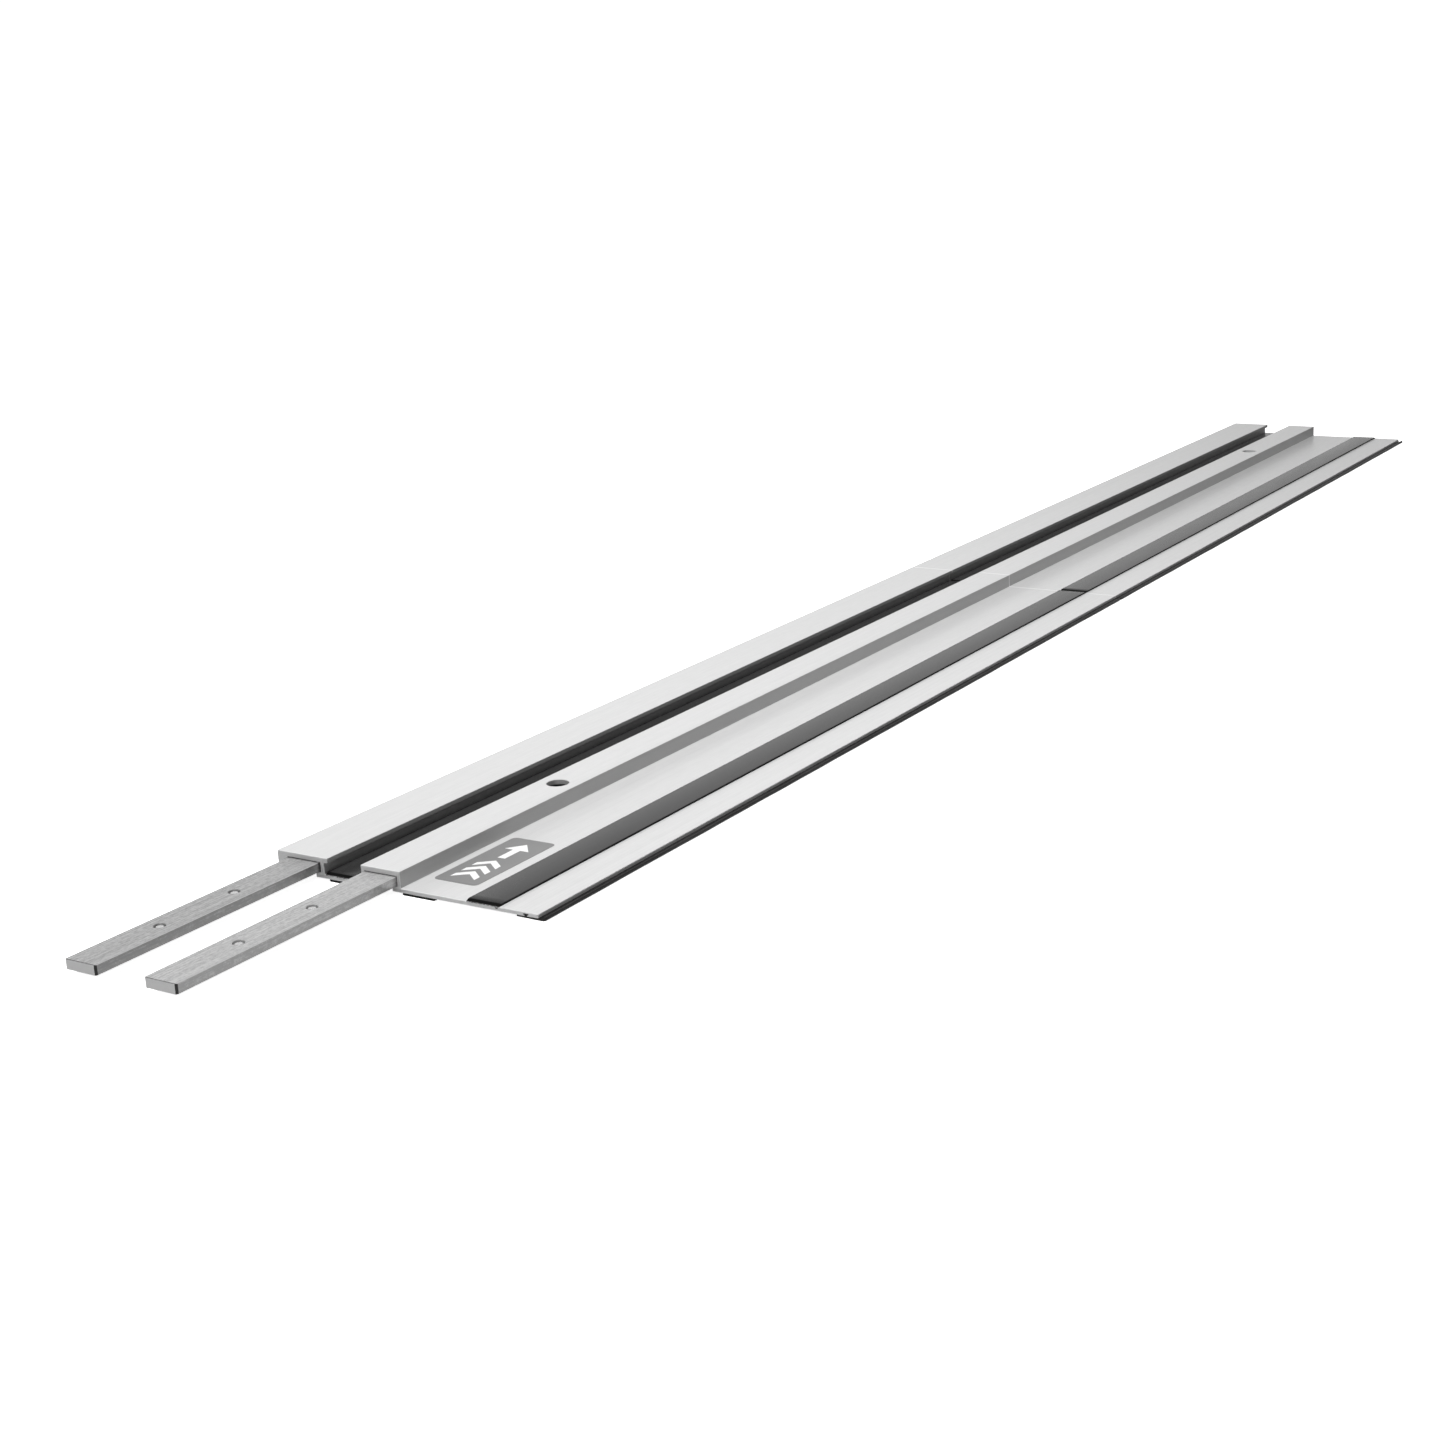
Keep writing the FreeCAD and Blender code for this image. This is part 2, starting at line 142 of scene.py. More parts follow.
def new_finish(name, fixed):
    """A material with its unvarying values on the shader's sockets, and the place on the piece."""
    material = bpy.data.materials.new(name)
    material.use_nodes = True
    graph = material.node_tree
    for socket, value in fixed.items():
        graph.nodes["Principled BSDF"].inputs[socket].default_value = value
    return material, Wire(graph.nodes.new("ShaderNodeTexCoord").outputs["Object"])


def feed(material, wires):
    """Leads each wire to the shader's socket of that name."""
    graph = material.node_tree
    for socket, wire in wires.items():
        graph.links.new(wire.socket, graph.nodes["Principled BSDF"].inputs[socket])
    return material


def tilt_across(place):
    """The size of the surface normal's Y: 1 on a face square to Y, 0 on one that lies along it."""
    _, tilt, _ = axes(place.node("TexCoord", {}, {}, "Normal"))
    return abs(tilt)


def facing_across(place):
    """1 on a face that looks along Y, 0 on one that looks up, down or along X."""
    return rise(tilt_across(place), 0.6, 0.95)


def at_ends(x, node, full, gone):
    """1 up to the first distance from either end of a long piece, 0 beyond the second."""
    low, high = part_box(node)
    return 1 - rise((x - low.x).least(high.x - x), full, gone)


def anodised_aluminium(rail):
    """Pale matt metal under a clear oxide skin, with lengthwise die lines, soft clouding and rubbed
    tracks. A bright band at each end is partly bare metal left by the saw and partly a painted
    highlight. The walls that stand up across Y are rougher, and a darker grey on them is painted shade."""
    material, place = new_finish(rail + "_anodised", {
        "Metallic": 0.20, "Coat Weight": 1.0, "Coat Roughness": 0.24, "Coat IOR": 1.38})
    x, y, _ = axes(place)
    cut_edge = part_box(rail)[0].y
    # Painted shade: the walls that stand up across Y, away from the cut edge, get darker greys below.
    wall = facing_across(place) * rise(y, cut_edge + 1 * MM, cut_edge + 2 * MM)
    die_lines = grain(place, (1.3, 900, 900), detail=5.0, roughness=0.7)
    clouding = grain(place, (70, 260, 260), detail=7.0, roughness=0.7)
    rubbed = rise(grain(place, (5, 2400, 600), detail=2.0), 0.68, 0.80)
    # The bright band at each end is partly bare metal where the saw cut and partly a painted highlight
    # for the light that the end chamfers catch.
    sawn_and_highlight = (1 - wall) * at_ends(x, rail, 0.4 * MM, 0.9 * MM)
    saw_marks = grain(place, (500, 300, 3000), detail=2.0)
    streaks = 0.6 * die_lines + 0.4 * clouding
    # The oxide's streaky grey, switched to the darker painted shade on the walls.
    skin = colours(wall, colours(streaks, 0.66, 0.92), colours(streaks, 0.37, 0.52))
    return feed(material, {
        "Base Color": colours(sawn_and_highlight, skin, 0.96),
        "Roughness": 0.52 + 0.14 * die_lines + 0.08 * clouding - 0.12 * rubbed + 0.1 * wall,
        "Normal": relief(die_lines + 0.3 * rubbed + 3 * sawn_and_highlight * saw_marks, 0.004 * MM)})


for rail in ("near_rail", "far_rail"):
    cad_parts[rail].material_slots[0].material = anodised_aluminium(rail)


# ---- Connector bars ----------------------------------------------------------------------------
# Flat bar of drawn mild steel with a thin bright plating. Drawing leaves lines along it, handling
# scuffs it at a slant and rubs its long corners bright. It is sheared to length afterwards, so its
# end faces are bare bright steel, with a dark burr round each and scale on the corners cut there.


def drawn_steel(bar, dull, bright):
    """Streaky plated steel between two greys, darker on the sides as painted shade. The long corners of
    the top and underside and the sheared ends are bright. Each end has its dark burr and scale."""
    low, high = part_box(bar)
    half_width = (high.y - low.y) / 2
    material, place = new_finish(bar + "_steel", {"Metallic": 0.65})
    x, y, _ = axes(place)
    streaks = grain(place, (11, 1000, 1000), detail=5.0, roughness=0.65)
    mottle = grain(place, (320, 560, 560), detail=8.0, roughness=0.75)
    slanted = place.node("Mapping", {}, {"Vector": place, "Rotation": (0, 0, radians(27))})
    scuffs = rise(grain(slanted, (110, 1900, 400), detail=3.0), 0.60, 0.74)
    pits = rise(grain(place, (900, 900, 900), detail=1.0), 0.70, 0.78)
    share = rise(0.4 * streaks + 0.6 * mottle, 0.34, 0.66) + 0.3 * scuffs - 0.4 * pits
    # Painted shade: the sides, which look along Y, are pulled towards the dull grey below.
    side = facing_across(place)
    plating_and_side_shade = colours(share - 0.5 * side, dull, bright)
    corner = rise(abs(y - low.y - half_width), half_width - 0.7 * MM, half_width - 0.3 * MM)
    sheared = at_ends(x, bar, 0.01 * MM, 0.04 * MM)
    rubbed = (corner - side).most(sheared)
    burr = at_ends(x, bar, 0.4 * MM, 0.7 * MM) - sheared
    tilt = tilt_across(place)
    cut_corner = rise(tilt, 0.5, 0.6) - rise(tilt, 0.8, 0.9)
    scale = cut_corner * at_ends(x, bar, 1.0 * MM, 1.2 * MM)
    return feed(material, {
        "Base Color": colours(burr.most(scale), colours(rubbed, plating_and_side_shade, 0.86), 0.06),
        "Roughness": 0.44 - 0.16 * streaks + 0.14 * mottle - 0.1 * corner + 0.1 * sheared,
        "Normal": relief(streaks + 0.6 * mottle + 0.6 * scuffs - 0.8 * pits, 0.011 * MM)})


plating_greys = {"near_inner_bar": (0.54, 0.96), "near_outer_bar": (0.43, 0.82),
                 "joint_inner_bar": (0.50, 0.90), "joint_outer_bar": (0.46, 0.86)}
for bar, greys in plating_greys.items():
    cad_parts[bar].material_slots[0].material = drawn_steel(bar, *greys)


# ---- Set screws --------------------------------------------------------------------------------
# Zinc-plated M6 set screws, turned from bar with a rolled thread. The flat tip points up at the
# slot's roof and the hexagon socket opens underneath, where the key reaches it.


def new_piece(name, points, faces, crease=35):
    """An object made of these points and faces, smooth except across edges sharper than crease."""
    mesh = bpy.data.meshes.new(name)
    mesh.from_pydata(points.reshape(-1, 3).tolist(), [], faces)
    mesh.shade_smooth()
    mesh.set_sharp_from_angle(angle=radians(crease))
    piece = bpy.data.objects.new(name, mesh)
    bpy.context.scene.collection.objects.link(piece)
    return piece


def quads(number):
    """The four-cornered faces between neighbouring rows and columns of a grid of point numbers."""
    corners = number[:-1, :-1], number[:-1, 1:], number[1:, 1:], number[1:, :-1]
    return np.stack(corners, axis=-1).reshape(-1, 4).tolist()


def turned_grid(radius, height, angle):
    """Points at (radius cos angle, radius sin angle, height), a ring to a row, and the faces that
    join each ring to the one below it. The first and last rows are closed to single points."""
    rings, around = radius.shape
    points = np.stack([radius * np.cos(angle), radius * np.sin(angle), height], axis=-1)
    body = points[1:-1].reshape(-1, 3)
    number = np.arange(len(body)).reshape(rings - 2, around)
    closed = np.c_[number, number[:, 0]]
    first_pole, last_pole = len(body), len(body) + 1
    caps = [(first_pole, a, b) for a, b in zip(closed[0, :-1].tolist(), closed[0, 1:].tolist())]
    caps += [(last_pole, b, a) for a, b in zip(closed[-1, :-1].tolist(), closed[-1, 1:].tolist())]
    return np.vstack([body, points[0, 0], points[-1, 0]]), quads(closed.T) + caps


def set_screw(name, node, turn):
    """Down from the tip: a flat, a cone, a thread whose radius is the crest less a triangle wave in
    (height / pitch + angle / full turn), a cone, and a hexagon socket back up from the underside.
    The wave is clipped a little, which leaves the thread narrow flats at its crest and root."""
    low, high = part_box(node)
    centre = (low + high) / 2
    crest, pitch, depth = (high.x - low.x) / 2, 1.0 * MM, 0.55 * MM
    tip_cone, end_cone = 1.2 * MM, 0.4 * MM
    tip_middle, tip_rim = 0.9 * MM, 1.7 * MM
    socket, socket_depth, socket_bevel = 3.0 * MM, 2.4 * MM, 0.15 * MM
    drill_rim, drill_rise, drill_point = 0.2 * MM, 0.5 * MM, 0.55 * MM
    flats = 0.25
    around, rings = 48, 61
    angle = np.linspace(0, tau, around, endpoint=False)[None, :]

    height = np.linspace(high.z, low.z, rings)[:, None]
    wave = np.abs(2 * ((height / pitch + (angle + turn) / tau) % 1.0) - 1)
    thread = crest - depth * np.clip((1 + flats) * wave - flats / 2, 0, 1)
    cones = np.minimum(crest - tip_cone + (high.z - height), crest - end_cone + (height - low.z))
    shank = np.minimum(thread, cones)

    side = (angle + turn + pi / 6) % (pi / 3) - pi / 6
    hexagon = socket / 2 / np.cos(side)
    ones = np.ones_like(angle)
    bottom = low.z + socket_depth
    tip = [(0 * ones, high.z), (tip_middle * ones, high.z), (tip_rim * ones, high.z)]
    inside = [(hexagon + socket_bevel, low.z), (hexagon, low.z + socket_bevel), (hexagon, bottom),
              (drill_rim * ones, bottom + drill_rise), (0 * ones, bottom + drill_point)]
    radius = np.vstack([r for r, _ in tip] + [shank] + [r for r, _ in inside])
    level = np.vstack([z * ones for _, z in tip] + [height * ones] + [z * ones for _, z in inside])
    points, faces = turned_grid(radius, level, angle)
    return new_piece(name, points + np.array([centre.x, centre.y, 0]), faces)


def plated_screw_steel():
    """Bright zinc with a slight cloudiness and small nicks."""
    material, place = new_finish("zinc_plate", {"Metallic": 0.6})
    cloud = grain(place, (420, 420, 420), detail=4.0)
    nicks = rise(grain(place, (1600, 1600, 1600), detail=2.0), 0.62, 0.72)
    return feed(material, {
        "Base Color": colours(cloud - 0.3 * nicks, 0.66, 0.96),
        "Roughness": 0.16 + 0.22 * cloud + 0.1 * nicks,
        "Normal": relief(cloud - 0.5 * nicks, 0.012 * MM)})


zinc = plated_screw_steel()
for number, node in enumerate(sorted(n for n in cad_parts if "_screw_" in n)):
    screw = set_screw(node + "_threaded", node, turn=2.4 * number)
    screw.data.materials.append(zinc)
    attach(screw, node)
    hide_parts(node)


# ---- Glide strips ------------------------------------------------------------------------------
# Hard black plastic strips with a fine matt grain, stuck on the flat and on the channel's floor.
# They are knifed off at a slant at each end, and their top corners are slightly rounded.


def carried(name, outlines, crease=35):
    """A closed tube through outlines[station, point], with a flat face over each end. Each outline
    runs anticlockwise as seen from where the stations run to."""
    stations, around, _ = outlines.shape
    number = np.arange(stations * around).reshape(stations, around)
    ends = [number[0, ::-1].tolist(), number[-1].tolist()]
    return new_piece(name, outlines, quads(np.c_[number, number[:, 0]]) + ends, crease)


def softened(corners, cuts, steps=5):
    """A closed outline whose corners are parabolas: (1-t)^2 start + 2t(1-t) corner + t^2 end, where
    start and end lie a cut away from the corner along its two sides."""
    corners = np.array(corners, float)
    cuts = np.broadcast_to(np.asarray(cuts, float), len(corners))[:, None]
    before = np.roll(corners, 1, axis=0) - corners
    behind = np.roll(corners, -1, axis=0) - corners
    start = corners + cuts * before / np.linalg.norm(before, axis=1, keepdims=True)
    end = corners + cuts * behind / np.linalg.norm(behind, axis=1, keepdims=True)
    t = np.linspace(0, 1, steps)[None, :, None]
    curve = (1 - t) ** 2 * start[:, None] + 2 * t * (1 - t) * corners[:, None] + t ** 2 * end[:, None]
    return curve.reshape(-1, 2)


def waver(x, size, lengths, start):
    """An uneven line: the mean of sines of these wavelengths along x, between 0 and size. Another
    start gives each sine another phase, so that no two pieces are alike."""
    waves = [np.sin(tau * x / length + start * (order + 1.7)) for order, length in enumerate(lengths)]
    return size * (1 + sum(waves) / len(waves)) / 2


def glide_strip(name, node, start):
    """A flat profile with round top corners, whose x runs between two slanted ends: an end is set
    back by the end cut times the height over the thickness."""
    low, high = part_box(node)
    stations = 141
    end_cut, edge_wander = 2.2 * MM, 0.08 * MM
    bottom_round, top_round = 0.02 * MM, 0.25 * MM
    profile = softened([(low.y, low.z), (high.y, low.z), (high.y, high.z), (low.y, high.z)],
                       [bottom_round, bottom_round, top_round, top_round])
    y, z = profile.T[:, None, :]
    share = np.linspace(0, 1, stations)[:, None]
    set_back = end_cut * (z - low.z) / (high.z - low.z)
    x = low.x + set_back + share * (high.x - low.x - 2 * set_back)
    middle = (low.y + high.y) / 2
    narrowing = waver(x, edge_wander, (0.21, 0.083, 0.034), start)
    y = y - np.sign(y - middle) * narrowing
    return carried(name, np.stack(np.broadcast_arrays(x, y, z), axis=-1))


def glide_plastic(strip):
    """Matt black plastic: a pebbled skin, faint lengthwise rubbing where the saw runs, pale specks,
    and sides and ends that are rougher and painted near black as painted shade."""
    material, place = new_finish(strip + "_plastic", {"IOR": 1.5})
    x, _, _ = axes(place)
    pebble = grain(place, (2600, 2600, 2600), detail=2.0)
    rubbing = grain(place, (3, 800, 800), detail=4.0, roughness=0.7)
    patches = grain(place, (22, 90, 90), detail=3.0)
    specks = rise(grain(place, (1500, 1500, 1500), detail=1.0), 0.73, 0.80)
    # Painted shade: the faces that look along Y and the slanted ends are painted near black, and they
    # are also rougher.
    shaded_cut_faces = facing_across(place).most(at_ends(x, strip, 1.9 * MM, 2.3 * MM))
    shade = colours(0.5 * rubbing + 0.5 * patches, 0.018, 0.052)
    return feed(material, {
        "Base Color": colours(shaded_cut_faces, colours(specks, shade, 0.11), 0.006),
        "Roughness": 0.17 + 0.10 * pebble + 0.08 * patches - 0.04 * rubbing + 0.75 * shaded_cut_faces,
        "Normal": relief(pebble + 0.5 * rubbing, 0.008 * MM)})


for number, side in enumerate(("near", "far")):
    for kind in ("glide_strip", "channel_strip"):
        node = f"{side}_{kind}"
        strip = glide_strip(node + "_grained", node, start=number + len(kind))
        strip.data.materials.append(glide_plastic(node))
        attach(strip, side + "_section")
        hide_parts(node)


# ---- Tape lips ---------------------------------------------------------------------------------
# The strips are held by double-sided tape. At the near end it was trimmed by hand, so a ragged lip
# of it hangs over the plate's edge, longest where one corner of it has curled out.


def tape_lip(name, node, curl_at, start):
    """A sheet that leaves the plate level and bends down over its edge as a circle: at distance s
    out, x = -R sin(s / R) and z = -R (1 - cos(s / R)). Its reach wavers, and is longest at the curl."""
    low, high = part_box(node)
    rows, columns = 121, 13
    bend, thickness, inset, held = 0.6 * MM, 0.09 * MM, 0.3 * MM, 0.2 * MM
    least_reach, rag, curl_reach, curl_width = 0.1 * MM, 0.63 * MM, 1.9 * MM, 0.028
    across = np.linspace(0, 1, rows)[:, None]
    out = np.linspace(0, 1, columns)[None, :]
    y = low.y + inset + across * (high.y - low.y - 2 * inset)
    ragged = waver(y, rag, (0.0061, 0.0023, 0.00097, 0.00041), start)
    curl = curl_reach * np.exp(-((across - curl_at) / curl_width) ** 2)
    turned = out * (least_reach + ragged + curl) / bend
    points = np.stack(np.broadcast_arrays(
        low.x + held - bend * np.sin(turned), y,
        low.z + thickness / 2 - bend * (1 - np.cos(turned))), axis=-1)
    lip = new_piece(name, points, quads(np.arange(rows * columns).reshape(rows, columns)), crease=60)
    wall = lip.modifiers.new("thickness", "SOLIDIFY")
    wall.thickness = thickness
    wall.offset = 0
    return lip


def worn_tape():
    """Greyish foam tape, darker where dust has stuck to its cut."""
    material, place = new_finish("worn_tape", {"Specular IOR Level": 0.3})
    dust = grain(place, (1100, 1100, 1100), detail=4.0, roughness=0.7)
    return feed(material, {
        "Base Color": colours(rise(dust, 0.40, 0.60), 0.03, 0.42),
        "Roughness": 0.55 + 0.4 * dust,
        "Normal": relief(dust, 0.05 * MM)})


tape = worn_tape()
for node, curl_at in (("near_glide_strip", 0.06), ("near_channel_strip", 0.12)):
    lip = tape_lip(node + "_tape", node, curl_at, start=len(node))
    lip.data.materials.append(tape)
    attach(lip, "near_section")


# ---- Grip strips -------------------------------------------------------------------------------
# Dense black foam rubber on the underside, cut from a roll and stuck on. Its edges wander a
# little and its lower corners are pressed round by the work it lies on.


def grip_strip(name, node, start):
    """A rectangle with round lower corners, carried along X between edges that waver inwards, each
    edge in its own way."""
    low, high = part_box(node)
    stations = 181
    bottom_round, top_round = 0.4 * MM, 0.08 * MM
    edge_wander, edge_shift = 0.25 * MM, 50 * MM
    profile = softened([(low.y, low.z), (high.y, low.z), (high.y, high.z), (low.y, high.z)],
                       [bottom_round, bottom_round, top_round, top_round])
    x = np.linspace(low.x, high.x, stations)[:, None]
    y, z = profile.T[:, None, :]
    side = np.sign(y - (low.y + high.y) / 2)
    y = y - side * waver(x + side * edge_shift, edge_wander, (0.17, 0.061, 0.019), start)
    return carried(name, np.stack(np.broadcast_arrays(x, y, z), axis=-1))


def foam_rubber():
    """Black closed-cell foam: small round cells, a dull skin and a few dusty patches."""
    material, place = new_finish("foam_rubber", {"Specular IOR Level": 0.25, "Sheen Weight": 0.15})
    cells = place.node("TexVoronoi", {}, {
        "Vector": stretched(place, (2300, 2300, 2300)), "Scale": 1.0})
    dust = grain(place, (60, 240, 240), detail=4.0)
    return feed(material, {
        "Base Color": colours(rise(dust, 0.5, 0.75), 0.009, 0.035),
        "Roughness": 0.78 + 0.18 * dust,
        "Normal": relief(1 - rise(cells, 0.0, 0.6), 0.08 * MM)})


foam = foam_rubber()
for number, side in enumerate(("near", "far")):
    for kind in ("inner_grip", "channel_grip"):
        node = f"{side}_{kind}"
        strip = grip_strip(node + "_foam", node, start=2 * number + len(kind))
        strip.data.materials.append(foam)
        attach(strip, side + "_section")
        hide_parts(node)


# ---- Splinter guards ---------------------------------------------------------------------------
# An extruded black rubber lip: a flat band under the cut edge, held by a T lug in the rail's
# groove, then two small ridges and a round bulb outside. It waves a little, as rubber does.


def splinter_guard(name, node, start):
    """The band's outline with the lug, then ridges as raised cosines and the bulb as an arc, carried
    along X. Each end is rounded off in plan by a quarter circle, whose setback at a distance d from
    the end is R - sqrt(R^2 - (R - d)^2). The lip wavers inwards and upwards."""
    low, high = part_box(node)
    length = high.x - low.x
    overhang, groove_play, drop, taper = 4.5 * MM, 0.05 * MM, 0.25 * MM, 0.25 * MM
    lug_offset, neck, head, neck_top, head_top = 7.2 * MM, 0.8 * MM, 1.5 * MM, 0.5 * MM, 1.2 * MM
    bulb, bulb_lift, bulb_start, bulb_end = 0.95 * MM, 0.1 * MM, 0.28 * pi, 1.48 * pi
    ridge, pitch, ridges_start, ridges_end = 0.32 * MM, 0.9 * MM, 0.15 * MM, 2.16 * MM
    end_round, end_reach, edge_wander, lift_wander = 2.2 * MM, 5 * MM, 0.35 * MM, 0.12 * MM
    edge = low.y + overhang
    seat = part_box("near_rail")[0].z
    lug = edge + lug_offset
    band = softened([
        (low.y + 1.4 * bulb, low.z), (high.y, low.z + taper), (high.y, seat),
        (lug + neck, seat), (lug + neck, seat + neck_top), (lug + head, seat + neck_top),
        (lug + head, seat + head_top), (lug - head, seat + head_top), (lug - head, seat + neck_top),
        (lug - neck, seat + neck_top), (lug - neck, seat), (edge + groove_play, seat),
        (edge + groove_play, seat - drop)],
        np.array([0.02, 0.12, 0.2, 0.05, 0.1, 0.12, 0.12, 0.12, 0.12, 0.1, 0.05, 0.05, 0.05]) * MM)
    out = np.linspace(ridges_start, ridges_end, 25)
    ridges = np.stack([
        edge - out, seat - drop + ridge * (1 - np.cos(tau * out / pitch)) / 2], axis=-1)
    turn = np.linspace(bulb_start, bulb_end, 23)
    round_end = np.stack([low.y + bulb + bulb * np.cos(turn),
                          low.z + bulb + bulb_lift + bulb * np.sin(turn)], axis=-1)
    y, z = np.vstack([band, ridges, round_end]).T[:, None, :]
    near_end = end_round * (1 - np.cos(np.linspace(0, pi / 2, 9)))
    straight = np.linspace(end_reach, length - end_reach, 231)
    along = np.concatenate([near_end, straight, length - near_end[::-1]])[:, None]
    gap = np.minimum(along, length - along)
    inside = end_round - np.sqrt(np.maximum(end_round ** 2 - np.maximum(end_round - gap, 0) ** 2, 0))
    lip = np.clip((edge - y) / overhang, 0, 1)
    y = y + lip * waver(along, edge_wander, (0.31, 0.107, 0.043), start)
    z = z + lip * waver(along, lift_wander, (0.23, 0.089, 0.037), start + 2)
    y = np.maximum(y, low.y + inside)
    x = low.x + along
    return carried(name, np.stack(np.broadcast_arrays(x, y, z), axis=-1), crease=50)


def guard_rubber():
    """Black extruded rubber: a soft shine, fine lines along it and a pale bloom in patches."""
    material, place = new_finish("guard_rubber", {"IOR": 1.5})
    lines = grain(place, (2.5, 2200, 2200), detail=4.0, roughness=0.65)
    bloom = grain(place, (30, 300, 300), detail=4.0)
    return feed(material, {
        "Base Color": colours(0.4 * lines + 0.6 * rise(bloom, 0.4, 0.7), 0.006, 0.035),
        "Roughness": 0.26 + 0.2 * lines + 0.12 * bloom,
        "Normal": relief(lines + 0.3 * bloom, 0.02 * MM)})


rubber = guard_rubber()
for number, side in enumerate(("near", "far")):
    node = side + "_splinter_guard"
    guard = splinter_guard(node + "_lip", node, start=3.1 * number + 1)
    guard.data.materials.append(rubber)
    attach(guard, side + "_section")
    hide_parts(node)


# ---- Marking panel -----------------------------------------------------------------------------
# A thin grey printed label with round corners. The white marks on it are a plain arrow with three
# chevrons behind it, which point along the cut. They are their own layer of ink.


def stacked(name, outline, levels):
    """A closed plate: the outline drawn in towards its middle by an inset at each (height, inset)."""
    middle = outline.mean(axis=0)
    reach = np.linalg.norm(outline - middle, axis=1, keepdims=True)
    rings = [np.c_[outline - (outline - middle) / reach * inset, np.full(len(outline), height)]
             for height, inset in levels]
    return carried(name, np.array(rings))


def printed_ink(name, dark, light, roughness):
    """Flat ink with a faint screen grain and small worn spots."""
    material, place = new_finish(name, {"Specular IOR Level": 0.4})
    screen = grain(place, (1800, 1800, 1800), detail=2.0)
    cloud = grain(place, (50, 50, 50), detail=4.0)
    worn = rise(grain(place, (700, 1400, 700), detail=3.0), 0.66, 0.74)
    share = 0.4 * screen + 0.6 * cloud + 0.5 * worn
    return feed(material, {
        "Base Color": colours(share, dark, light),
        "Roughness": roughness + 0.15 * cloud + 0.1 * screen,
        "Normal": relief(screen, 0.006 * MM)})


low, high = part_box("near_marking_panel")
corner_cut, rim_drop, rim_inset = 3.4 * MM, 0.04 * MM, 0.06 * MM
plate = softened([(low.x, low.y), (high.x, low.y), (high.x, high.y), (low.x, high.y)],
                 corner_cut, steps=9)
panel = stacked("near_marking_panel_printed", plate, (
    (low.z, 0), (high.z - rim_drop, 0), (high.z, rim_inset)))
panel.data.materials.append(printed_ink("panel_grey", 0.20, 0.29, 0.42))
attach(panel, "near_section")
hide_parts("near_marking_panel")

half_height, stroke, ink = 7.5 * MM, 4.6 * MM, 0.02 * MM
chevron_point, shaft, arrow_point = 6 * MM, 13 * MM, 9 * MM
first_chevron, chevron_step, arrow_start = 6.5 * MM, 8.6 * MM, 38.5 * MM
middle = (low.y + high.y) / 2
chevron = np.array([(0, -half_height), (stroke, -half_height), (stroke + chevron_point, 0),
                    (stroke, half_height), (0, half_height), (chevron_point, 0)])
arrow = np.array([(0, -stroke / 2), (shaft, -stroke / 2), (shaft, -half_height),
                  (shaft + arrow_point, 0), (shaft, half_height),
                  (shaft, stroke / 2), (0, stroke / 2)])
white_ink = printed_ink("panel_white", 0.80, 0.92, 0.45)
marks = [(f"near_panel_chevron_{n + 1}", chevron, first_chevron + n * chevron_step)
         for n in range(3)]
marks.append(("near_panel_arrow", arrow, arrow_start))
for name, shape, offset in marks:
    mark = stacked(name, shape + np.array([low.x + offset, middle]), (
        (high.z, 0), (high.z + ink, 0)))
    mark.data.materials.append(white_ink)
    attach(mark, "near_section")


# ---- Floor, light and camera -------------------------------------------------------------------
# A plain white floor that sweeps up into a round backdrop and only the camera sees. A softbox hangs
# over the near half, a dome of light is brightest low down behind the rails, and a grey card under
# them, which the camera doesn't see, throws light back up.


def backdrop():
    """A bowl of revolution: flat out to the floor's radius, then a quarter circle up to a wall."""
    middle, flat, bend, wall = 0.02, 6.0, 2.0, 3.0
    around, flat_rings = 96, 30
    angle = np.linspace(0, tau, around, endpoint=False)[:, None]
    turn = np.linspace(0, pi / 2, 25)[1:]
    radius = np.concatenate([
        np.linspace(middle, flat, flat_rings), flat + bend * np.sin(turn), [flat + bend]])
    height = np.concatenate([np.zeros(flat_rings), bend * (1 - np.cos(turn)), [bend + wall]])
    points = np.stack(np.broadcast_arrays(
        radius * np.cos(angle), radius * np.sin(angle), height), axis=-1)
    number = np.arange(around * len(radius)).reshape(around, len(radius))
    return new_piece("studio_floor", points, quads(np.r_[number, number[:1]]) + [number[:, 0].tolist()])


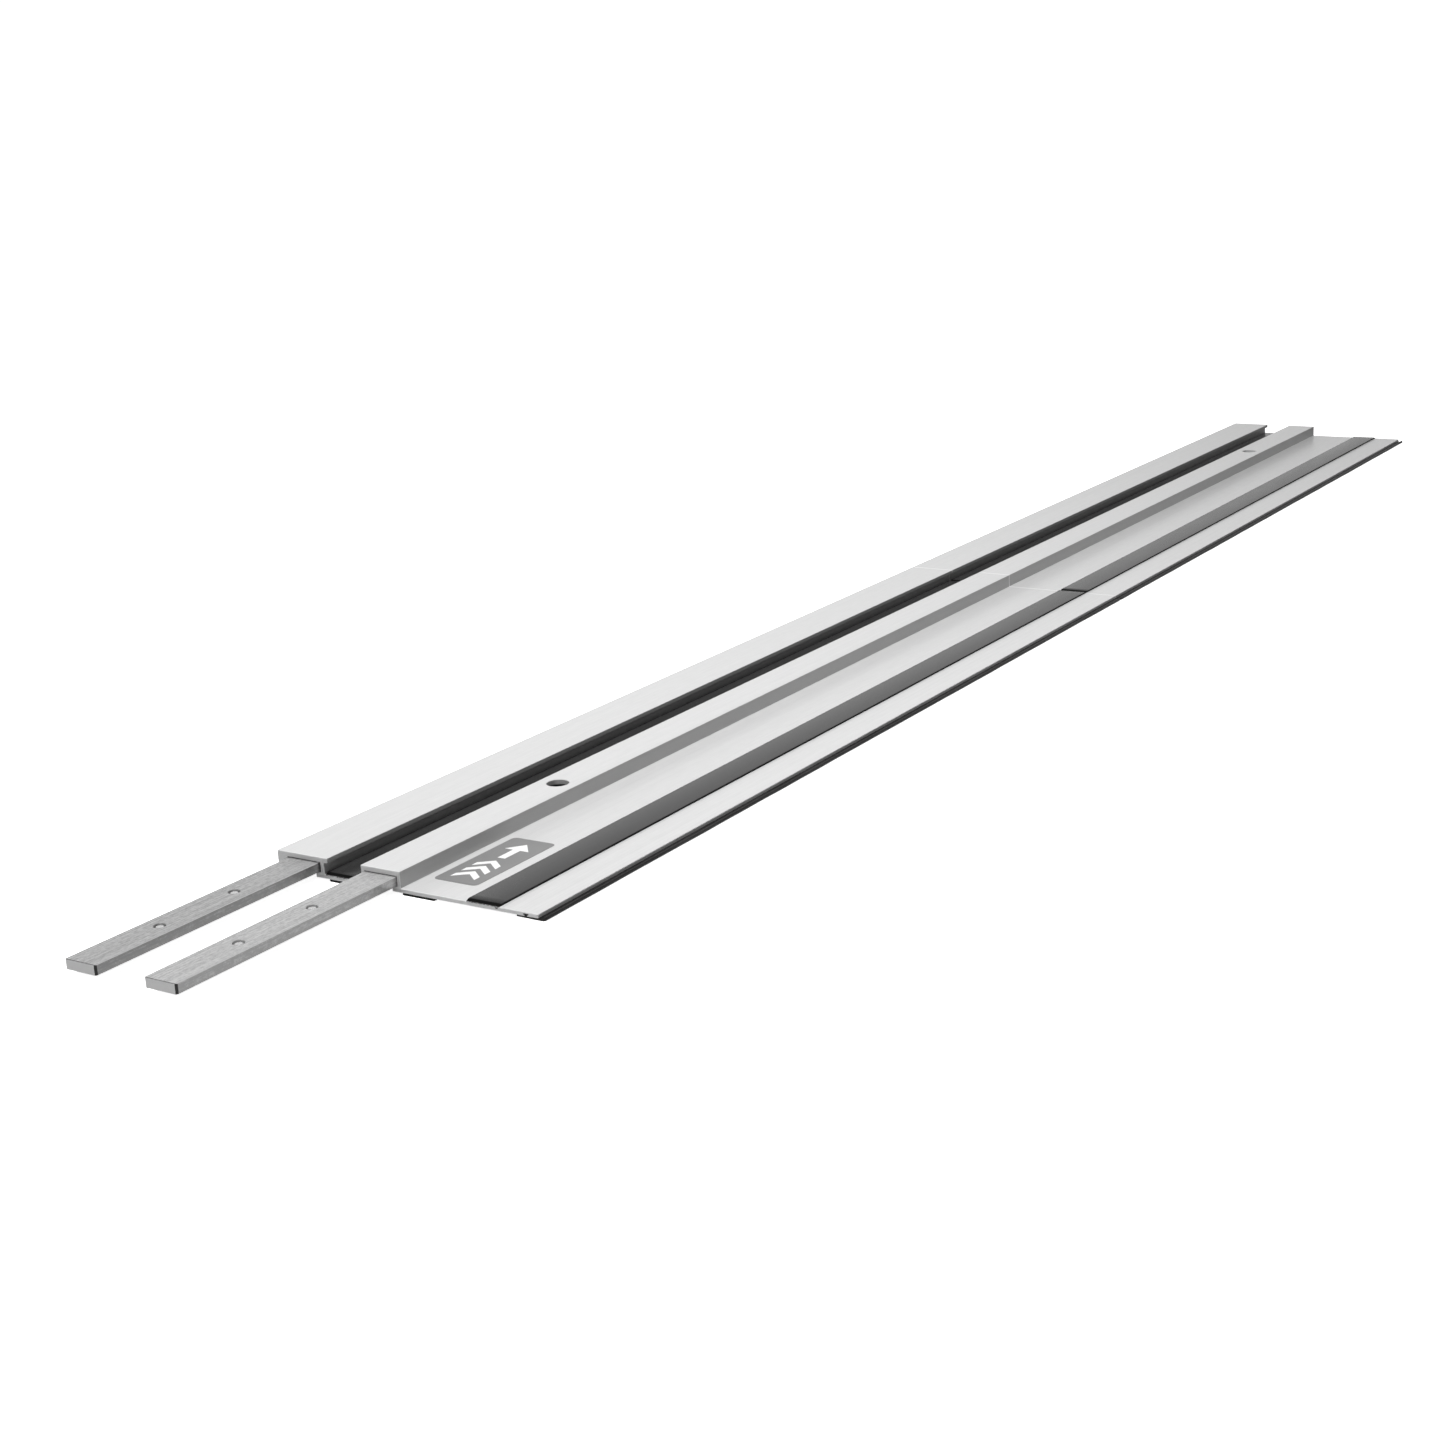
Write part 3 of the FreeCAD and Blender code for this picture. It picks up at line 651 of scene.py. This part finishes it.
def matt_paper(name, dark, light, fixed):
    """Dull paper between two greys, with a faint unevenness."""
    material, place = new_finish(name, {"Specular IOR Level": 0.0, **fixed})
    return feed(material, {
        "Base Color": colours(grain(place, (3, 3, 3)), dark, light),
        "Roughness": 0.85 + 0.1 * grain(place, (40, 40, 40))})


floor = backdrop()
floor.data.materials.append(matt_paper("studio_paper", 0.88, 0.92, {
    "Emission Color": (1, 1, 1, 1), "Emission Strength": 0.90}))
floor.visible_glossy = False
floor.visible_diffuse = False
floor.visible_shadow = False

half, under = 2.0, -1 * MM
card = new_piece("bounce_card", np.array([
    (-half, -half, under), (half, -half, under), (half, half, under), (-half, half, under)]),
    [(0, 1, 2, 3)])
card.data.materials.append(matt_paper("bounce_card", 0.43, 0.47, {}))
card.visible_camera = False

world = bpy.data.worlds.new("soft_dome")
bpy.context.scene.world = world
world.use_nodes = True
graph = world.node_tree
x, y, z = axes(Wire(graph.nodes.new("ShaderNodeTexCoord").outputs["Generated"]))
towards_horizon = (1 - abs(z)) * (1 - 0.6 * abs(z))
level = ((0.70 + 0.16 * x + 0.48 * y) * towards_horizon).most(0.02)
graph.links.new(level.socket, graph.nodes["Background"].inputs["Strength"])
graph.nodes["Background"].inputs["Color"].default_value = (1, 1, 1, 1)

softbox = bpy.data.lights.new("softbox", "AREA")
softbox.shape = "RECTANGLE"
softbox.size = 0.9
softbox.size_y = 0.6
softbox.energy = 31.5
overhead = bpy.data.objects.new("softbox", softbox)
overhead.location = (-0.44, -0.1, 1.6)
overhead.visible_glossy = False
bpy.context.scene.collection.objects.link(overhead)

camera_data = bpy.data.cameras.new("camera")
camera_data.lens = 57.56
camera_data.sensor_width = 36.0
camera = bpy.data.objects.new("camera", camera_data)
bpy.context.scene.collection.objects.link(camera)
camera.location = Vector((-1437.65, -707.61, 388.10)) * MM
aim = Vector((-339.32, -5.09, 12.0)) * MM
roll = Quaternion((0, 0, 1), radians(-2.777))
camera.rotation_mode = "QUATERNION"
camera.rotation_quaternion = (aim - camera.location).to_track_quat("-Z", "Y") @ roll
bpy.context.scene.camera = camera
bpy.context.scene.view_settings.view_transform = "Standard"
